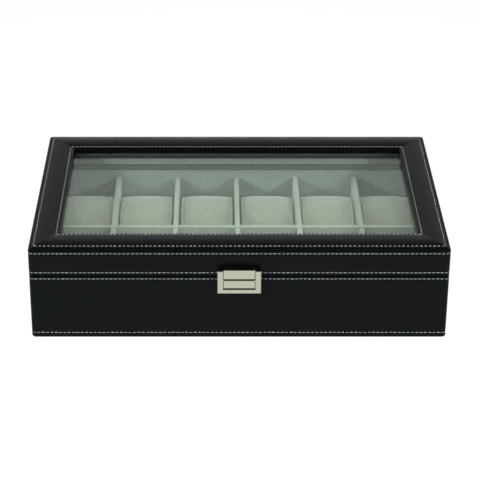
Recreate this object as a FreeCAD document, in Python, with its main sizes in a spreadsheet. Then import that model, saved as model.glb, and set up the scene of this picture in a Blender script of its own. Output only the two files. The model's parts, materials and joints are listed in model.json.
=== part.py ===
import FreeCAD, Part
import math
import os

import Sketcher

# A twelve-slot watch box: a leather-covered case with dividers, pillows and a glazed, hinged lid.
# Frame: origin at the centre of the underside, +Z up, the front faces -Y, millimetres.

COLUMNS = 6
ROW_NAMES = ("front", "rear")

# Driving dimensions
SIZES = {
    # Case
    "outer_width": 310,
    "outer_depth": 204,
    "base_height": 52.25,
    "lid_height": 22.25,
    "seam_gap": 0.5,
    "corner_round": 3,
    "bottom_round": 2.5,
    "rim_round": 0.6,
    "leather_thick": 1,
    "board_thick": 7,
    "bottom_thick": 5,
    "felt_proud": 0.2,
    "turn_under": 12,
    "rim_lining_drop": 5.5,
    # Velvet lining and dividers
    "floor_thick": 1.8,
    "lining_thick": 2,
    "divider_thick": 4,
    "divider_height": 34,
    "divider_step": 0.5,
    "divider_round": 0.8,
    "divider_clear": 0.1,
    # Lid top and window
    "front_rail": 26,
    "back_rail": 24.5,
    "side_rail": 22,
    "frame_thick": 3.5,
    "padding_thick": 1.2,
    "padding_edge": 0.2,
    "crown_run": 8,
    "crown_drop": 1.6,
    "window_round": 1.4,
    "window_corner": 1.5,
    "glass_thick": 2.5,
    "glass_lap": 6,
    "glass_corner": 2,
    "glass_clear": 0.3,
    "retainer_thick": 2.5,
    "retainer_setback": 1.5,
    # Pillows
    "pillow_height": 28.5,
    "pillow_end_clear": 1.5,
    "pillow_face_clear": 6,
    "pillow_draw": 2,
    "pillow_roll": 10.5,
    "soft_clear": 0.3,
    # Hinges
    "hinge_spacing": 180,
    "hinge_length": 30,
    "hinge_setback": 1.2,
    "hinge_barrel": 2,
    "hinge_pin": 0.9,
    "barrel_clear": 0.2,
    "running_clear": 0.05,
    "leaf_reach": 7.4,
    "leaf_clear": 0.2,
    "tail_reach": 2.9,
    "tail_drop": 0.85,
    "tail_thick": 1.4,
    "leaf_screw_spacing": 20,
    # Screws
    "screw_radius": 0.9,
    "screw_head": 1.6,
    "screw_head_height": 0.7,
    "leaf_screw_length": 9,
    "screw_bite": 3,
    # Press lock
    "lock_width": 32,
    "lock_depth": 6,
    "lock_rise": 7.3,
    "lock_drop": 11.6,
    "arm_width": 4.2,
    "arm_clear": 0.3,
    "bar_height": 3.8,
    "lock_bevel": 0.5,
    "back_plate": 1,
    "plate_clear": 0.3,
    "button_thick": 1.8,
    "button_gap": 0.5,
    "pivot_drop": 1.9,
    "pivot_depth": 3.6,
    "pivot_barrel": 1.3,
    "lock_pin": 0.7,
    "pin_seat": 2,
    "latch_width": 8,
    "latch_thick": 1,
    "latch_rise": 4.5,
    "nose_reach": 0.7,
    "nose_height": 1.2,
    "latch_clear": 0.2,
    "strike_rise": 8.3,
    "strike_wall": 1.2,
    "strike_ledge": 1,
    "latch_room": 1.5,
    "spring_width": 8,
    "spring_thick": 0.3,
    "spring_foot": 1.2,
    # How far cutting shapes stand past the faces they cut
    "cut_over": 1,
}

# Places worked out from the sizes
PLACES = {
    "half_width": "=size.outer_width / 2",
    "half_depth": "=size.outer_depth / 2",
    "board_out_x": "=half_width - size.leather_thick",
    "board_out_y": "=half_depth - size.leather_thick",
    "board_in_x": "=board_out_x - size.board_thick",
    "board_in_y": "=board_out_y - size.board_thick",
    "inner_x": "=board_in_x - size.lining_thick",
    "inner_y": "=board_in_y - size.lining_thick",
    # Heights in the base, from the table up
    "board_bottom": "=size.felt_proud + size.leather_thick",
    "bottom_top": "=board_bottom + size.bottom_thick",
    "floor_top": "=bottom_top + size.floor_thick",
    "rim_top": "=size.base_height",
    "board_top": "=rim_top - size.leather_thick",
    "lining_top": "=rim_top - size.rim_lining_drop",
    "divider_top": "=floor_top + size.divider_height",
    "lap_height": "=floor_top + size.divider_height / 2",
    "seam": "=rim_top + size.seam_gap / 2",
    # Heights in the lid
    "lid_bottom": "=rim_top + size.seam_gap",
    "lid_board_bottom": "=lid_bottom + size.leather_thick",
    "lid_top": "=lid_bottom + size.lid_height",
    "padding_top": "=lid_top - size.leather_thick",
    "frame_top": "=padding_top - size.padding_thick",
    "glass_top": "=frame_top - size.frame_thick",
    "glass_bottom": "=glass_top - size.glass_thick",
    "retainer_bottom": "=glass_bottom - size.retainer_thick",
    # Window in the lid
    "window_x": "=half_width - size.side_rail",
    "window_front": "=size.front_rail - half_depth",
    "window_back": "=half_depth - size.back_rail",
    # Compartments
    "column_pitch": f"=(2 * inner_x + size.divider_thick) / {COLUMNS}",
    "slot_width": "=column_pitch - size.divider_thick",
    "slot_depth": "=inner_y - size.divider_thick / 2",
    "row_centre": "=(inner_y + size.divider_thick / 2) / 2",
    # Hinge line
    "hinge_y": "=half_depth + size.hinge_setback",
    "leaf_front": "=half_depth - size.leaf_reach",
    # Press lock
    "lock_half": "=size.lock_width / 2",
    "opening_half": "=lock_half - size.arm_width",
    "plate_half": "=opening_half - size.plate_clear",
    "lock_top": "=seam + size.lock_rise",
    "lock_bottom": "=seam - size.lock_drop",
    "bar_top": "=lock_bottom + size.bar_height",
    "pivot_height": "=seam - size.pivot_drop",
    "pivot_y": "=-half_depth - size.pivot_depth",
    "latch_top": "=seam + size.latch_rise",
    "latch_back": "=half_depth + size.pivot_depth - size.latch_thick",
    "nose_tip": "=latch_back - size.nose_reach",
    "strike_top": "=seam + size.strike_rise",
}

doc = FreeCAD.newDocument("watch_box")


def fill_sheet(name, cells):
    """A sheet with one row per entry: its name, then its value or formula under that alias."""
    sheet = doc.addObject("Spreadsheet::Sheet", name)
    for row, (alias, content) in enumerate(cells.items(), start=1):
        sheet.set(f"A{row}", alias)
        sheet.set(f"B{row}", str(content))
        sheet.setAlias(f"B{row}", alias)
    doc.recompute()
    return sheet


size = fill_sheet("size", SIZES)
place = fill_sheet("place", PLACES)
pieces = []


def piece(shape):
    """Keeps a finished sub-part for export under its own label."""
    pieces.append(shape)
    return shape


# Solids between named places


def block(name, x, y, z):
    """A box between two places on each axis, each pair given as (low, high) expressions."""
    solid = doc.addObject("Part::Box", name)
    for side, axis, (low, high) in zip(("Length", "Width", "Height"), "xyz", (x, y, z)):
        solid.setExpression(side, f"({high}) - ({low})")
        solid.setExpression(f"Placement.Base.{axis}", low)
    return solid


def both_ways(reach):
    """The pair of places at the same distance on both sides of the middle."""
    return f"-({reach})", reach


TURNS = {
    "x": FreeCAD.Rotation(FreeCAD.Vector(0, 1, 0), 90),
    "y": FreeCAD.Rotation(FreeCAD.Vector(1, 0, 0), -90),
    "z": FreeCAD.Rotation(),
}


def rod(name, along, start, length, radius):
    """A cylinder from a start place along one axis."""
    solid = doc.addObject("Part::Cylinder", name)
    solid.setExpression("Radius", radius)
    solid.setExpression("Height", length)
    set_place(solid, along, start)
    return solid


def set_place(solid, along, start):
    """Turns a round solid's axis along X, Y or Z and puts its start at a place."""
    solid.Placement.Rotation = TURNS[along]
    for axis, where in zip("xyz", start):
        solid.setExpression(f"Placement.Base.{axis}", where)


def cut(name, base, *tools):
    """The base with every tool taken away from it."""
    result = doc.addObject("Part::Cut", name)
    result.Base = base
    result.Tool = tools[0] if len(tools) == 1 else join(f"{name}_tools", *tools)
    return result


def join(name, *solids):
    """Several solids as one."""
    result = doc.addObject("Part::MultiFuse", name)
    result.Shapes = list(solids)
    result.Refine = True
    return result


def group(name, solids):
    """Separate solids that make one sub-part, such as a set of screws."""
    result = doc.addObject("Part::Compound", name)
    result.Links = solids
    return result


# Rounded edges, chosen by where they lie

TOLERANCE = 1e-4


def upright(edge):
    """Whether an edge runs straight up."""
    run = edge.Vertexes[0].Point - edge.Vertexes[-1].Point
    return abs(run.z) > TOLERANCE and math.hypot(run.x, run.y) < TOLERANCE


def level(height):
    """A test for edges that lie at one height."""
    return lambda edge: all(abs(vertex.Z - height) < TOLERANCE for vertex in edge.Vertexes)


def within(edge, reach_x, reach_y):
    """Whether an edge stays inside a rectangle about the middle."""
    box = edge.BoundBox
    fits_x = max(-box.XMin, box.XMax) < reach_x - TOLERANCE
    fits_y = max(-box.YMin, box.YMax) < reach_y - TOLERANCE
    return fits_x and fits_y


def rounded(name, solid, chosen, radius):
    """The solid with its chosen edges rounded."""
    doc.recompute()
    result = doc.addObject("Part::Fillet", name)
    result.Base = solid
    numbers = [number for number, edge in enumerate(solid.Shape.Edges, start=1) if chosen(edge)]
    result.Edges = [(number, radius, radius) for number in numbers]
    return result


def rounded_block(name, x, y, z, radius):
    """A box with rounded upright edges."""
    return rounded(name, block(f"{name}_box", x, y, z), upright, radius)


# Sketched features of a body


def new_body(name):
    return doc.addObject("PartDesign::Body", name)


def new_sketch(body, name, plane, offset):
    """A sketch on one of the body's own origin planes, moved off it along the plane's normal."""
    sketch = body.newObject("Sketcher::SketchObject", f"{body.Name}_{name}")
    support = [feature for feature in body.Origin.OriginFeatures if feature.Role == plane]
    sketch.AttachmentSupport = [(support[0], "")]
    sketch.MapMode = "FlatFace"
    sketch.setExpression("AttachmentOffset.Base.z", offset)
    return sketch


ORIGIN_POINT = (-1, 1)


def polygon(body, name, plane, offset, corners):
    """A sketch of one closed outline whose corners are bound to pairs of expressions."""
    sketch = new_sketch(body, name, plane, offset)
    count = len(corners)
    starts = [FreeCAD.Vector(number, number * number, 0) for number in range(count)]
    for number in range(count):
        sketch.addGeometry(Part.LineSegment(starts[number], starts[(number + 1) % count]))
    for number in range(count):
        sketch.addConstraint(Sketcher.Constraint("Coincident", number, 2, (number + 1) % count, 1))
    for number, corner in enumerate(corners):
        for kind, where, start in zip(("DistanceX", "DistanceY"), corner, starts[number]):
            index = sketch.addConstraint(Sketcher.Constraint(kind, *ORIGIN_POINT, number, 1, start))
            sketch.setExpression(f"Constraints[{index}]", where)
    return sketch


def rectangle(body, name, plane, offset, across, up):
    """A sketch of one rectangle between two places each way."""
    corners = [(across[0], up[0]), (across[1], up[0]), (across[1], up[1]), (across[0], up[1])]
    return polygon(body, name, plane, offset, corners)


def circle(body, name, plane, offset, centre, radius):
    """A sketch of one circle."""
    sketch = new_sketch(body, name, plane, offset)
    sketch.addGeometry(Part.Circle(FreeCAD.Vector(1, 1, 0), FreeCAD.Vector(0, 0, 1), 1))
    for kind, where in zip(("DistanceX", "DistanceY"), centre):
        index = sketch.addConstraint(Sketcher.Constraint(kind, *ORIGIN_POINT, 0, 3, 1))
        sketch.setExpression(f"Constraints[{index}]", where)
    index = sketch.addConstraint(Sketcher.Constraint("Radius", 0, 1))
    sketch.setExpression(f"Constraints[{index}]", radius)
    return sketch


def sketched(body, kind, sketch, length, midplane):
    """A pad or pocket of a sketch: along its normal, or half to each side of it."""
    feature = body.newObject(kind, f"{sketch.Name}_feature")
    feature.Profile = sketch
    feature.setExpression("Length", length)
    feature.Midplane = midplane
    if kind == "PartDesign::Pocket" and not midplane:
        feature.Reversed = True
    doc.recompute()
    return feature


def pad(body, sketch, length, midplane=False):
    return sketched(body, "PartDesign::Pad", sketch, length, midplane)


def pocket(body, sketch, length, midplane=False):
    """A pocket, which must take some of the body away."""
    before = body.Shape.Volume
    feature = sketched(body, "PartDesign::Pocket", sketch, length, midplane)
    if body.Shape.Volume > before - TOLERANCE:
        raise ValueError(f"{feature.Name} cuts nothing")
    return feature


def bevel(body, name, chosen, width):
    """A chamfer on the chosen edges of a body as it stands."""
    base = body.Tip
    feature = body.newObject("PartDesign::Chamfer", f"{body.Name}_{name}")
    edges = enumerate(base.Shape.Edges, start=1)
    feature.Base = (base, [f"Edge{number}" for number, edge in edges if chosen(edge)])
    feature.setExpression("Size", width)
    doc.recompute()
    return feature


# Four walls that make a ring of boards: the front and back run full width, the sides fit between


def wall_ring(prefix, suffix, out_x, in_x, out_y, in_y, z, radius=0):
    """Four separate upright boards between an outer and an inner rectangle."""
    spans = {
        "front": (both_ways(out_x), (f"-{out_y}", f"-{in_y}")),
        "back": (both_ways(out_x), (in_y, out_y)),
        "left": ((f"-{out_x}", f"-{in_x}"), both_ways(in_y)),
        "right": ((in_x, out_x), both_ways(in_y)),
    }
    for side, (x, y) in spans.items():
        name = f"{prefix}_{side}_{suffix}"
        if radius and side in ("front", "back"):
            outside = max if side == "back" else min
            wall = block(f"{name}_box", x, y, z)
            doc.recompute()
            face = outside(vertex.Y for vertex in wall.Shape.Vertexes)
            piece(rounded(name, wall, outer_uprights(face), radius))
        else:
            piece(block(name, x, y, z))


def outer_uprights(face):
    """A test for upright edges on the plane of a wall's outer face."""
    return lambda edge: upright(edge) and abs(edge.Vertexes[0].Y - face) < TOLERANCE


def base_case():
    """The boards of the base, its leather cover, the felt underneath and the cloth inside the rim."""
    inner_round = size.corner_round - size.leather_thick
    boards = (both_ways("place.board_out_x"), both_ways("place.board_out_y"))
    wall_ring(
        "base", "board", "place.board_out_x", "place.board_in_x", "place.board_out_y", "place.board_in_y",
        ("place.bottom_top", "place.board_top"), inner_round,
    )
    bottom_radius = size.bottom_round - size.leather_thick
    slab = rounded_block("bottom_slab", *boards, ("place.board_bottom", "place.bottom_top"), inner_round)
    piece(rounded("base_bottom_board", slab, level(place.board_bottom), bottom_radius))
    underside = (
        both_ways("place.half_width - size.turn_under"),
        both_ways("place.half_depth - size.turn_under"),
    )
    piece(block("underside_felt", *underside, ("0", "place.board_bottom")))

    # The leather goes round the walls, under the bottom edge and over the rim, down to a strip of lining
    outer = rounded_block(
        "base_leather_outer", both_ways("place.half_width"), both_ways("place.half_depth"),
        ("size.felt_proud", "place.rim_top"), size.corner_round,
    )
    outer = rounded("base_leather_block", outer, level(size.felt_proud), size.bottom_round)
    core = rounded_block("base_core_box", *boards, ("place.board_bottom", "place.board_top"), inner_round)
    core = rounded("base_core", core, level(place.board_bottom), bottom_radius)
    below = block("base_leather_hole", *underside, ("size.felt_proud - size.cut_over", "place.bottom_top"))
    mouth_x = both_ways("place.board_in_x - size.leather_thick")
    mouth_y = both_ways("place.board_in_y - size.leather_thick")
    mouth = block("base_mouth", mouth_x, mouth_y, ("place.bottom_top", "place.rim_top + size.cut_over"))
    shell = cut("base_leather_shell", outer, core, below, mouth)
    strip = block(
        "rim_lining_strip", both_ways("place.board_in_x"), both_ways("place.board_in_y"),
        ("place.lining_top", "place.board_top"),
    )
    piece(cut("rim_lining", strip, mouth))
    soft = rounded("base_leather_soft", shell, level(place.rim_top), size.rim_round)
    rooms = leaf_rooms("base", "place.board_top", "place.rim_top + size.cut_over")
    piece(cut("base_leather", soft, *rooms))


def leaf_rooms(prefix, low, high):
    """The cut-outs that both hinges need in a leather cover: one for the leaf, one for the barrel."""
    rooms = []
    for side, centre in hinge_centres().items():
        x = hinge_span(centre, "size.leaf_clear")
        y = ("place.leaf_front - size.leaf_clear", "place.half_depth + size.cut_over")
        rooms.append(block(f"{prefix}_{side}_leaf_room", x, y, (low, high)))
        rooms.append(barrel(f"{prefix}_{side}_barrel_room", x, "size.hinge_barrel + size.barrel_clear"))
    return rooms


def lining():
    """Velvet-covered boards on the floor and walls of the base, and the crossing dividers."""
    floor = (both_ways("place.board_in_x"), both_ways("place.board_in_y"))
    piece(block("floor_lining", *floor, ("place.bottom_top", "place.floor_top")))
    wall_ring(
        "base", "lining", "place.board_in_x", "place.inner_x", "place.board_in_y", "place.inner_y",
        ("place.floor_top", "place.lining_top"),
    )
    # The long divider drops over the cross dividers, each slotted to half its height
    half = "size.divider_thick / 2"
    slot = f"{half} + size.divider_clear"
    long_x = both_ways("place.inner_x - size.divider_clear")
    strip = block("long_divider_box", long_x, both_ways(half), ("place.floor_top", "place.divider_top"))
    strip = rounded("long_divider_strip", strip, top_runs(place.divider_top, "x"), size.divider_round)
    centres = [f"({number} - {COLUMNS} / 2) * place.column_pitch" for number in range(1, COLUMNS)]
    slots = []
    for number, centre in enumerate(centres, start=1):
        x = (f"{centre} - ({slot})", f"{centre} + {slot}")
        z = ("place.floor_top - size.cut_over", "place.lap_height")
        slots.append(block(f"long_slot_{number}", x, both_ways("size.divider_thick"), z))
    piece(cut("long_divider", strip, *slots))

    cross_top = "place.divider_top - size.divider_step"
    cross_y = both_ways("place.inner_y - size.divider_clear")
    for number, centre in enumerate(centres, start=1):
        name = f"cross_divider_{number}"
        x = (f"{centre} - {half}", f"{centre} + {half}")
        strip = block(f"{name}_box", x, cross_y, ("place.floor_top", cross_top))
        top = place.divider_top - size.divider_step
        strip = rounded(f"{name}_strip", strip, top_runs(top, "y"), size.divider_round)
        room_x = (f"{centre} - size.divider_thick", f"{centre} + size.divider_thick")
        room = block(f"{name}_room", room_x, both_ways(slot), ("place.lap_height", "place.divider_top"))
        piece(cut(name, strip, room))


def top_runs(height, along):
    """A test for the two long top edges of an upright strip."""
    def chosen(edge):
        box = edge.BoundBox
        long_enough = (box.XLength if along == "x" else box.YLength) > 2 * size.divider_thick
        return level(height)(edge) and long_enough
    return chosen


def window_block(name, grow, z, radius):
    """The window's outline, grown on every side, as a block with rounded corners."""
    x = both_ways(f"place.window_x + ({grow})")
    y = (f"place.window_front - ({grow})", f"place.window_back + ({grow})")
    return rounded_block(name, x, y, z, radius)


CROWN_STEPS = 5


def outline(half_x, half_y, radius, height):
    """A rectangle with round corners at one height, as a wire of lines and quarter arcs."""
    corners = [(1, 1), (-1, 1), (-1, -1), (1, -1)]
    rounds = []
    for side_x, side_y in corners:
        centre = FreeCAD.Vector(side_x * (half_x - radius), side_y * (half_y - radius), height)
        along_x = centre + FreeCAD.Vector(side_x * radius, 0, 0)
        along_y = centre + FreeCAD.Vector(0, side_y * radius, 0)
        middle = centre + FreeCAD.Vector(side_x, side_y, 0) * (radius * math.sqrt(0.5))
        ends = (along_x, along_y) if side_x == side_y else (along_y, along_x)
        rounds.append((ends[0], middle, ends[1]))
    edges = []
    for number, (start, middle, end) in enumerate(rounds):
        edges.append(Part.Arc(start, middle, end).toShape())
        edges.append(Part.LineSegment(end, rounds[(number + 1) % len(rounds)][0]).toShape())
    return Part.Wire(edges)


def crowned_plate(name, half_x, half_y, radius, low, top, drop, run):
    """A padded plate: its top falls away to all four sides along a quarter of an ellipse."""
    edge = top - drop
    sections = []
    for step in range(CROWN_STEPS + 1):
        angle = math.pi / 2 * step / CROWN_STEPS
        inset = run * (1 - math.cos(angle))
        sections.append(outline(half_x - inset, half_y - inset, radius, edge + drop * math.sin(angle)))
    crown = Part.makeLoft(sections, True)
    wall = Part.Face(outline(half_x, half_y, radius, low)).extrude(FreeCAD.Vector(0, 0, edge - low))
    plate = doc.addObject("Part::Feature", name)
    plate.Shape = wall.fuse(crown).removeSplitter()
    return plate


def lid_case():
    """The boards of the lid, its padded top frame, leather, glass and inner trim."""
    inner_round = size.corner_round - size.leather_thick
    wall_ring(
        "lid", "board", "place.board_out_x", "place.board_in_x", "place.board_out_y", "place.board_in_y",
        ("place.lid_board_bottom", "place.glass_top"), inner_round,
    )
    boards = (both_ways("place.board_out_x"), both_ways("place.board_out_y"))
    hole_round = size.window_corner + size.leather_thick
    past = ("place.glass_top - size.cut_over", "place.lid_top + size.cut_over")

    frame = rounded_block("top_frame_plate", *boards, ("place.glass_top", "place.frame_top"), inner_round)
    frame_hole = window_block("frame_hole", "size.leather_thick", past, hole_round)
    piece(cut("lid_top_frame", frame, frame_hole))

    padding = crowned_plate(
        "padding_plate", place.board_out_x, place.board_out_y, inner_round,
        place.frame_top, place.padding_top,
        size.padding_thick - size.padding_edge, size.crown_run - size.leather_thick,
    )
    piece(cut("lid_padding", padding, frame_hole))

    # One leather panel covers the padding and lines the window's edge down to the glass
    outside = (both_ways("place.half_width"), both_ways("place.half_depth"))
    panel = crowned_plate(
        "top_leather_plate", place.half_width, place.half_depth, size.corner_round,
        place.frame_top, place.lid_top, size.crown_drop, size.crown_run,
    )
    panel = cut("top_leather_panel", panel, padding)
    lip_z = ("place.glass_top", "place.padding_top")
    lip = window_block("window_lip", "size.leather_thick", lip_z, hole_round)
    window = window_block("window_hole", "0", past, size.window_corner)
    panel = cut("top_leather_window", join("top_leather_lipped", panel, lip), window)
    middle = (place.half_width - size.side_rail / 2, place.half_depth - size.back_rail / 2)
    top = level(place.lid_top)

    def window_edge(edge):
        return top(edge) and within(edge, *middle)

    piece(rounded("lid_top_leather", panel, window_edge, size.window_round))

    # A second leather band covers the sides and turns under the lid's rim
    band_z = ("place.lid_bottom", "place.frame_top")
    band = rounded_block("lid_band_outer", *outside, band_z, size.corner_round)
    band = rounded("lid_band_soft", band, level(place.lid_bottom), size.rim_round)
    core_z = ("place.lid_board_bottom", "place.frame_top + size.cut_over")
    core = rounded_block("lid_band_core", *boards, core_z, inner_round)
    below_z = ("place.lid_bottom - size.cut_over", "place.glass_top")
    below = block("lid_band_hole", both_ways("place.board_in_x"), both_ways("place.board_in_y"), below_z)
    rooms = leaf_rooms("lid", "place.lid_bottom - size.cut_over", "place.lid_board_bottom")
    piece(cut("lid_side_leather", band, core, below, *rooms))

    glass_z = ("place.glass_bottom", "place.glass_top")
    piece(window_block("window_glass", "size.glass_lap", glass_z, size.glass_corner))

    retainer = block(
        "retainer_plate", both_ways("place.board_in_x"), both_ways("place.board_in_y"),
        ("place.retainer_bottom", "place.glass_top"),
    )
    seat_z = ("place.glass_bottom", "place.glass_top + size.cut_over")
    seat_round = size.glass_corner + size.glass_clear
    seat = window_block("glass_seat", "size.glass_lap + size.glass_clear", seat_z, seat_round)
    opening_z = ("place.retainer_bottom - size.cut_over", "place.glass_top + size.cut_over")
    opening = window_block("retainer_hole", "size.retainer_setback", opening_z, size.window_corner)
    piece(cut("glass_retainer", retainer, seat, opening))

    wall_ring(
        "lid", "lining", "place.board_in_x", "place.inner_x", "place.board_in_y", "place.inner_y",
        ("place.lid_bottom", "place.retainer_bottom"),
    )


# Butt hinges with a stop tail, let into the rim at the back


def hinge_centres():
    return {"left": "-size.hinge_spacing / 2", "right": "size.hinge_spacing / 2"}


def hinge_span(centre, clear="0"):
    """The stretch of X that one hinge takes, with a clearance at both ends."""
    reach = f"(size.hinge_length / 2 + {clear})"
    return f"{centre} - {reach}", f"{centre} + {reach}"


def barrel(name, x, radius):
    """A round solid on the hinge line between two places."""
    return rod(name, "x", (x[0], "place.hinge_y", "place.seam"), f"({x[1]}) - ({x[0]})", radius)


def knuckle_spans(centre, clear):
    """The stretches of the outer and the middle knuckles, each drawn back at its inner ends."""
    end = "size.hinge_length / 2"
    third = "size.hinge_length / 6"
    outer = [
        (f"{centre} - {end}", f"{centre} - {third} - {clear}"),
        (f"{centre} + {third} + {clear}", f"{centre} + {end}"),
    ]
    middle = [(f"{centre} - {third} + {clear}", f"{centre} + {third} - {clear}")]
    return outer, middle


def countersunk(name, along, start, length):
    """A screw with a flat countersunk head at its start, running along one axis."""
    shank = rod(f"{name}_shank", along, start, length, "size.screw_radius")
    head = doc.addObject("Part::Cone", f"{name}_head")
    head.setExpression("Radius1", "size.screw_head")
    head.setExpression("Radius2", "size.screw_radius")
    head.setExpression("Height", "size.screw_head_height")
    set_place(head, along, start)
    return join(name, shank, head)


def downward(name, x, y, top):
    """A countersunk screw that points down from a face at the given height."""
    screw = countersunk(name, "z", (x, y, top), "size.leaf_screw_length")
    for solid in screw.Shapes:
        solid.Placement.Rotation = FreeCAD.Rotation(FreeCAD.Vector(1, 0, 0), 180)
    return screw


def hinge_leaf(name, centre, z, own, other, tail):
    """A leaf with its own knuckles, cut clear of the other leaf's knuckles and bored for the pin."""
    plate = block(f"{name}_plate", hinge_span(centre), ("place.leaf_front", "place.hinge_y"), z)
    knuckles = [barrel(f"{name}_knuckle_{n}", x, "size.hinge_barrel") for n, x in enumerate(own, start=1)]
    extras = []
    if tail:
        tail_y = ("place.hinge_y", "place.hinge_y + size.tail_reach")
        tail_z = ("place.seam - size.tail_drop", "place.seam - size.tail_drop + size.tail_thick")
        extras.append(block(f"{name}_tail", own[0], tail_y, tail_z))
    radius = "size.hinge_barrel + size.barrel_clear"
    rooms = [barrel(f"{name}_room_{n}", x, radius) for n, x in enumerate(other, start=1)]
    whole = join(f"{name}_whole", cut(f"{name}_notched", plate, *rooms), *knuckles, *extras)
    bore_x = hinge_span(centre, "size.cut_over")
    bore = barrel(f"{name}_bore", bore_x, "size.hinge_pin + size.running_clear")
    return cut(f"{name}_bored", whole, bore)


def hinges():
    """Two butt hinges: each has a leaf on the base, a leaf on the lid, a pin and four screws."""
    screws = {"base": [], "lid": []}
    base_z = ("place.board_top", "place.rim_top")
    lid_z = ("place.lid_bottom", "place.lid_board_bottom")
    screw_y = "(place.leaf_front + place.half_depth) / 2 - size.screw_radius"
    for side, centre in hinge_centres().items():
        outer, middle = knuckle_spans(centre, "size.barrel_clear / 2")
        wide_outer, wide_middle = knuckle_spans(centre, "-size.barrel_clear / 2")
        base_leaf = hinge_leaf(f"{side}_hinge_base_leaf", centre, base_z, outer, wide_middle, False)
        lid_leaf = hinge_leaf(f"{side}_hinge_lid_leaf", centre, lid_z, middle, wide_outer, True)
        base_screws = []
        lid_screws = []
        for number, sign in enumerate("-+", start=1):
            x = f"{centre} {sign} size.leaf_screw_spacing / 2"
            base_screws.append(downward(f"{side}_base_screw_{number}", x, screw_y, "place.rim_top"))
            start = (x, screw_y, "place.lid_bottom")
            screw = countersunk(f"{side}_lid_screw_{number}", "z", start, "size.leaf_screw_length")
            lid_screws.append(screw)
        piece(cut(f"{side}_hinge_base_leaf", base_leaf, *base_screws))
        piece(cut(f"{side}_hinge_lid_leaf", lid_leaf, *lid_screws))
        piece(barrel(f"{side}_hinge_pin", hinge_span(centre), "size.hinge_pin"))
        screws["base"] += base_screws
        screws["lid"] += lid_screws
    piece(group("hinge_base_screws", screws["base"]))
    piece(group("hinge_lid_screws", screws["lid"]))


# Press lock: a U-shaped body on the base, a rocking button in it and a strike box on the lid

SIDE = "YZ_Plane"
FRONT = "XZ_Plane"
PLAN = "XY_Plane"


def on_front(face):
    """A test for edges on the plane of the lock's front face."""
    return lambda edge: all(abs(vertex.Y - face) < TOLERANCE for vertex in edge.Vertexes)


def lock_body():
    """The U-shaped frame with its back plate, bevelled in front and drilled for the pivot pin."""
    body = new_body("lock_body")
    across = both_ways("place.lock_half")
    frame = rectangle(
        body, "frame", FRONT, "place.half_depth + size.arm_clear", across,
        ("place.lock_bottom", "place.lock_top"),
    )
    pad(body, frame, "size.lock_depth - size.arm_clear")
    throat = rectangle(
        body, "throat", FRONT, "place.half_depth", both_ways("place.opening_half"),
        ("place.bar_top", "place.lock_top + size.cut_over"),
    )
    pocket(body, throat, "size.lock_depth + size.cut_over")
    front = -place.half_depth - size.lock_depth
    bevel(body, "bevel", on_front(front), "size.lock_bevel")
    plate = rectangle(
        body, "plate", FRONT, "place.half_depth", across,
        ("place.lock_bottom", "place.rim_top - size.plate_clear"),
    )
    pad(body, plate, "size.back_plate")
    bore_radius = "size.lock_pin + size.running_clear"
    bore = circle(body, "bore", SIDE, "0", ("place.pivot_y", "place.pivot_height"), bore_radius)
    pocket(body, bore, "2 * (place.opening_half + size.pin_seat)", midplane=True)
    return piece(body)


def lock_button():
    """The push plate with its pivot barrel and the latch arm that rises into the strike box."""
    body = new_body("lock_button")
    face = rectangle(
        body, "face", FRONT, "place.half_depth + size.lock_depth - size.button_thick",
        both_ways("place.plate_half"), ("place.bar_top + size.button_gap", "place.rim_top"),
    )
    pad(body, face, "size.button_thick")
    bevel(body, "bevel", on_front(-place.half_depth - size.lock_depth), "size.lock_bevel")
    pivot = ("place.pivot_y", "place.pivot_height")
    hub = circle(body, "hub", SIDE, "0", pivot, "size.pivot_barrel")
    pad(body, hub, "2 * place.plate_half", midplane=True)
    latch_half = both_ways("size.latch_width / 2")
    arm_z = ("place.pivot_height", "place.latch_top")
    arm = rectangle(body, "arm", FRONT, "place.latch_back", latch_half, arm_z)
    pad(body, arm, "size.latch_thick")
    nose_z = ("place.latch_top - size.nose_height", "place.latch_top")
    nose = rectangle(body, "nose", FRONT, "place.nose_tip", latch_half, nose_z)
    pad(body, nose, "size.nose_reach + size.latch_thick / 2")
    bore = circle(body, "bore", SIDE, "0", pivot, "size.lock_pin + size.running_clear")
    pocket(body, bore, "2 * (place.plate_half + size.cut_over)", midplane=True)
    return piece(body)


def strike_plate():
    """The block on the lid, hollowed from below for the latch, with the ledge that the latch holds."""
    body = new_body("strike_plate")
    face = rectangle(
        body, "face", FRONT, "place.half_depth", both_ways("place.plate_half"),
        ("place.lid_bottom", "place.strike_top"),
    )
    pad(body, face, "size.lock_depth")
    bevel(body, "bevel", on_front(-place.half_depth - size.lock_depth), "size.lock_bevel")
    room_half = "size.latch_width / 2 + size.latch_room"
    room_front = "-(place.half_depth + size.lock_depth - size.strike_wall)"
    room_y = (room_front, "-(place.half_depth + size.back_plate)")
    room = rectangle(body, "room", PLAN, "place.lid_bottom", both_ways(room_half), room_y)
    pocket(body, room, "place.strike_top - size.strike_wall - place.lid_bottom")
    ledge_top = "place.latch_top - size.nose_height - size.latch_clear"
    ledge_z = (f"{ledge_top} - size.strike_ledge", ledge_top)
    ledge = rectangle(body, "ledge", FRONT, "place.half_depth", both_ways(room_half), ledge_z)
    pad(body, ledge, "place.nose_tip - size.latch_clear - place.half_depth")
    return piece(body)


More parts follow.
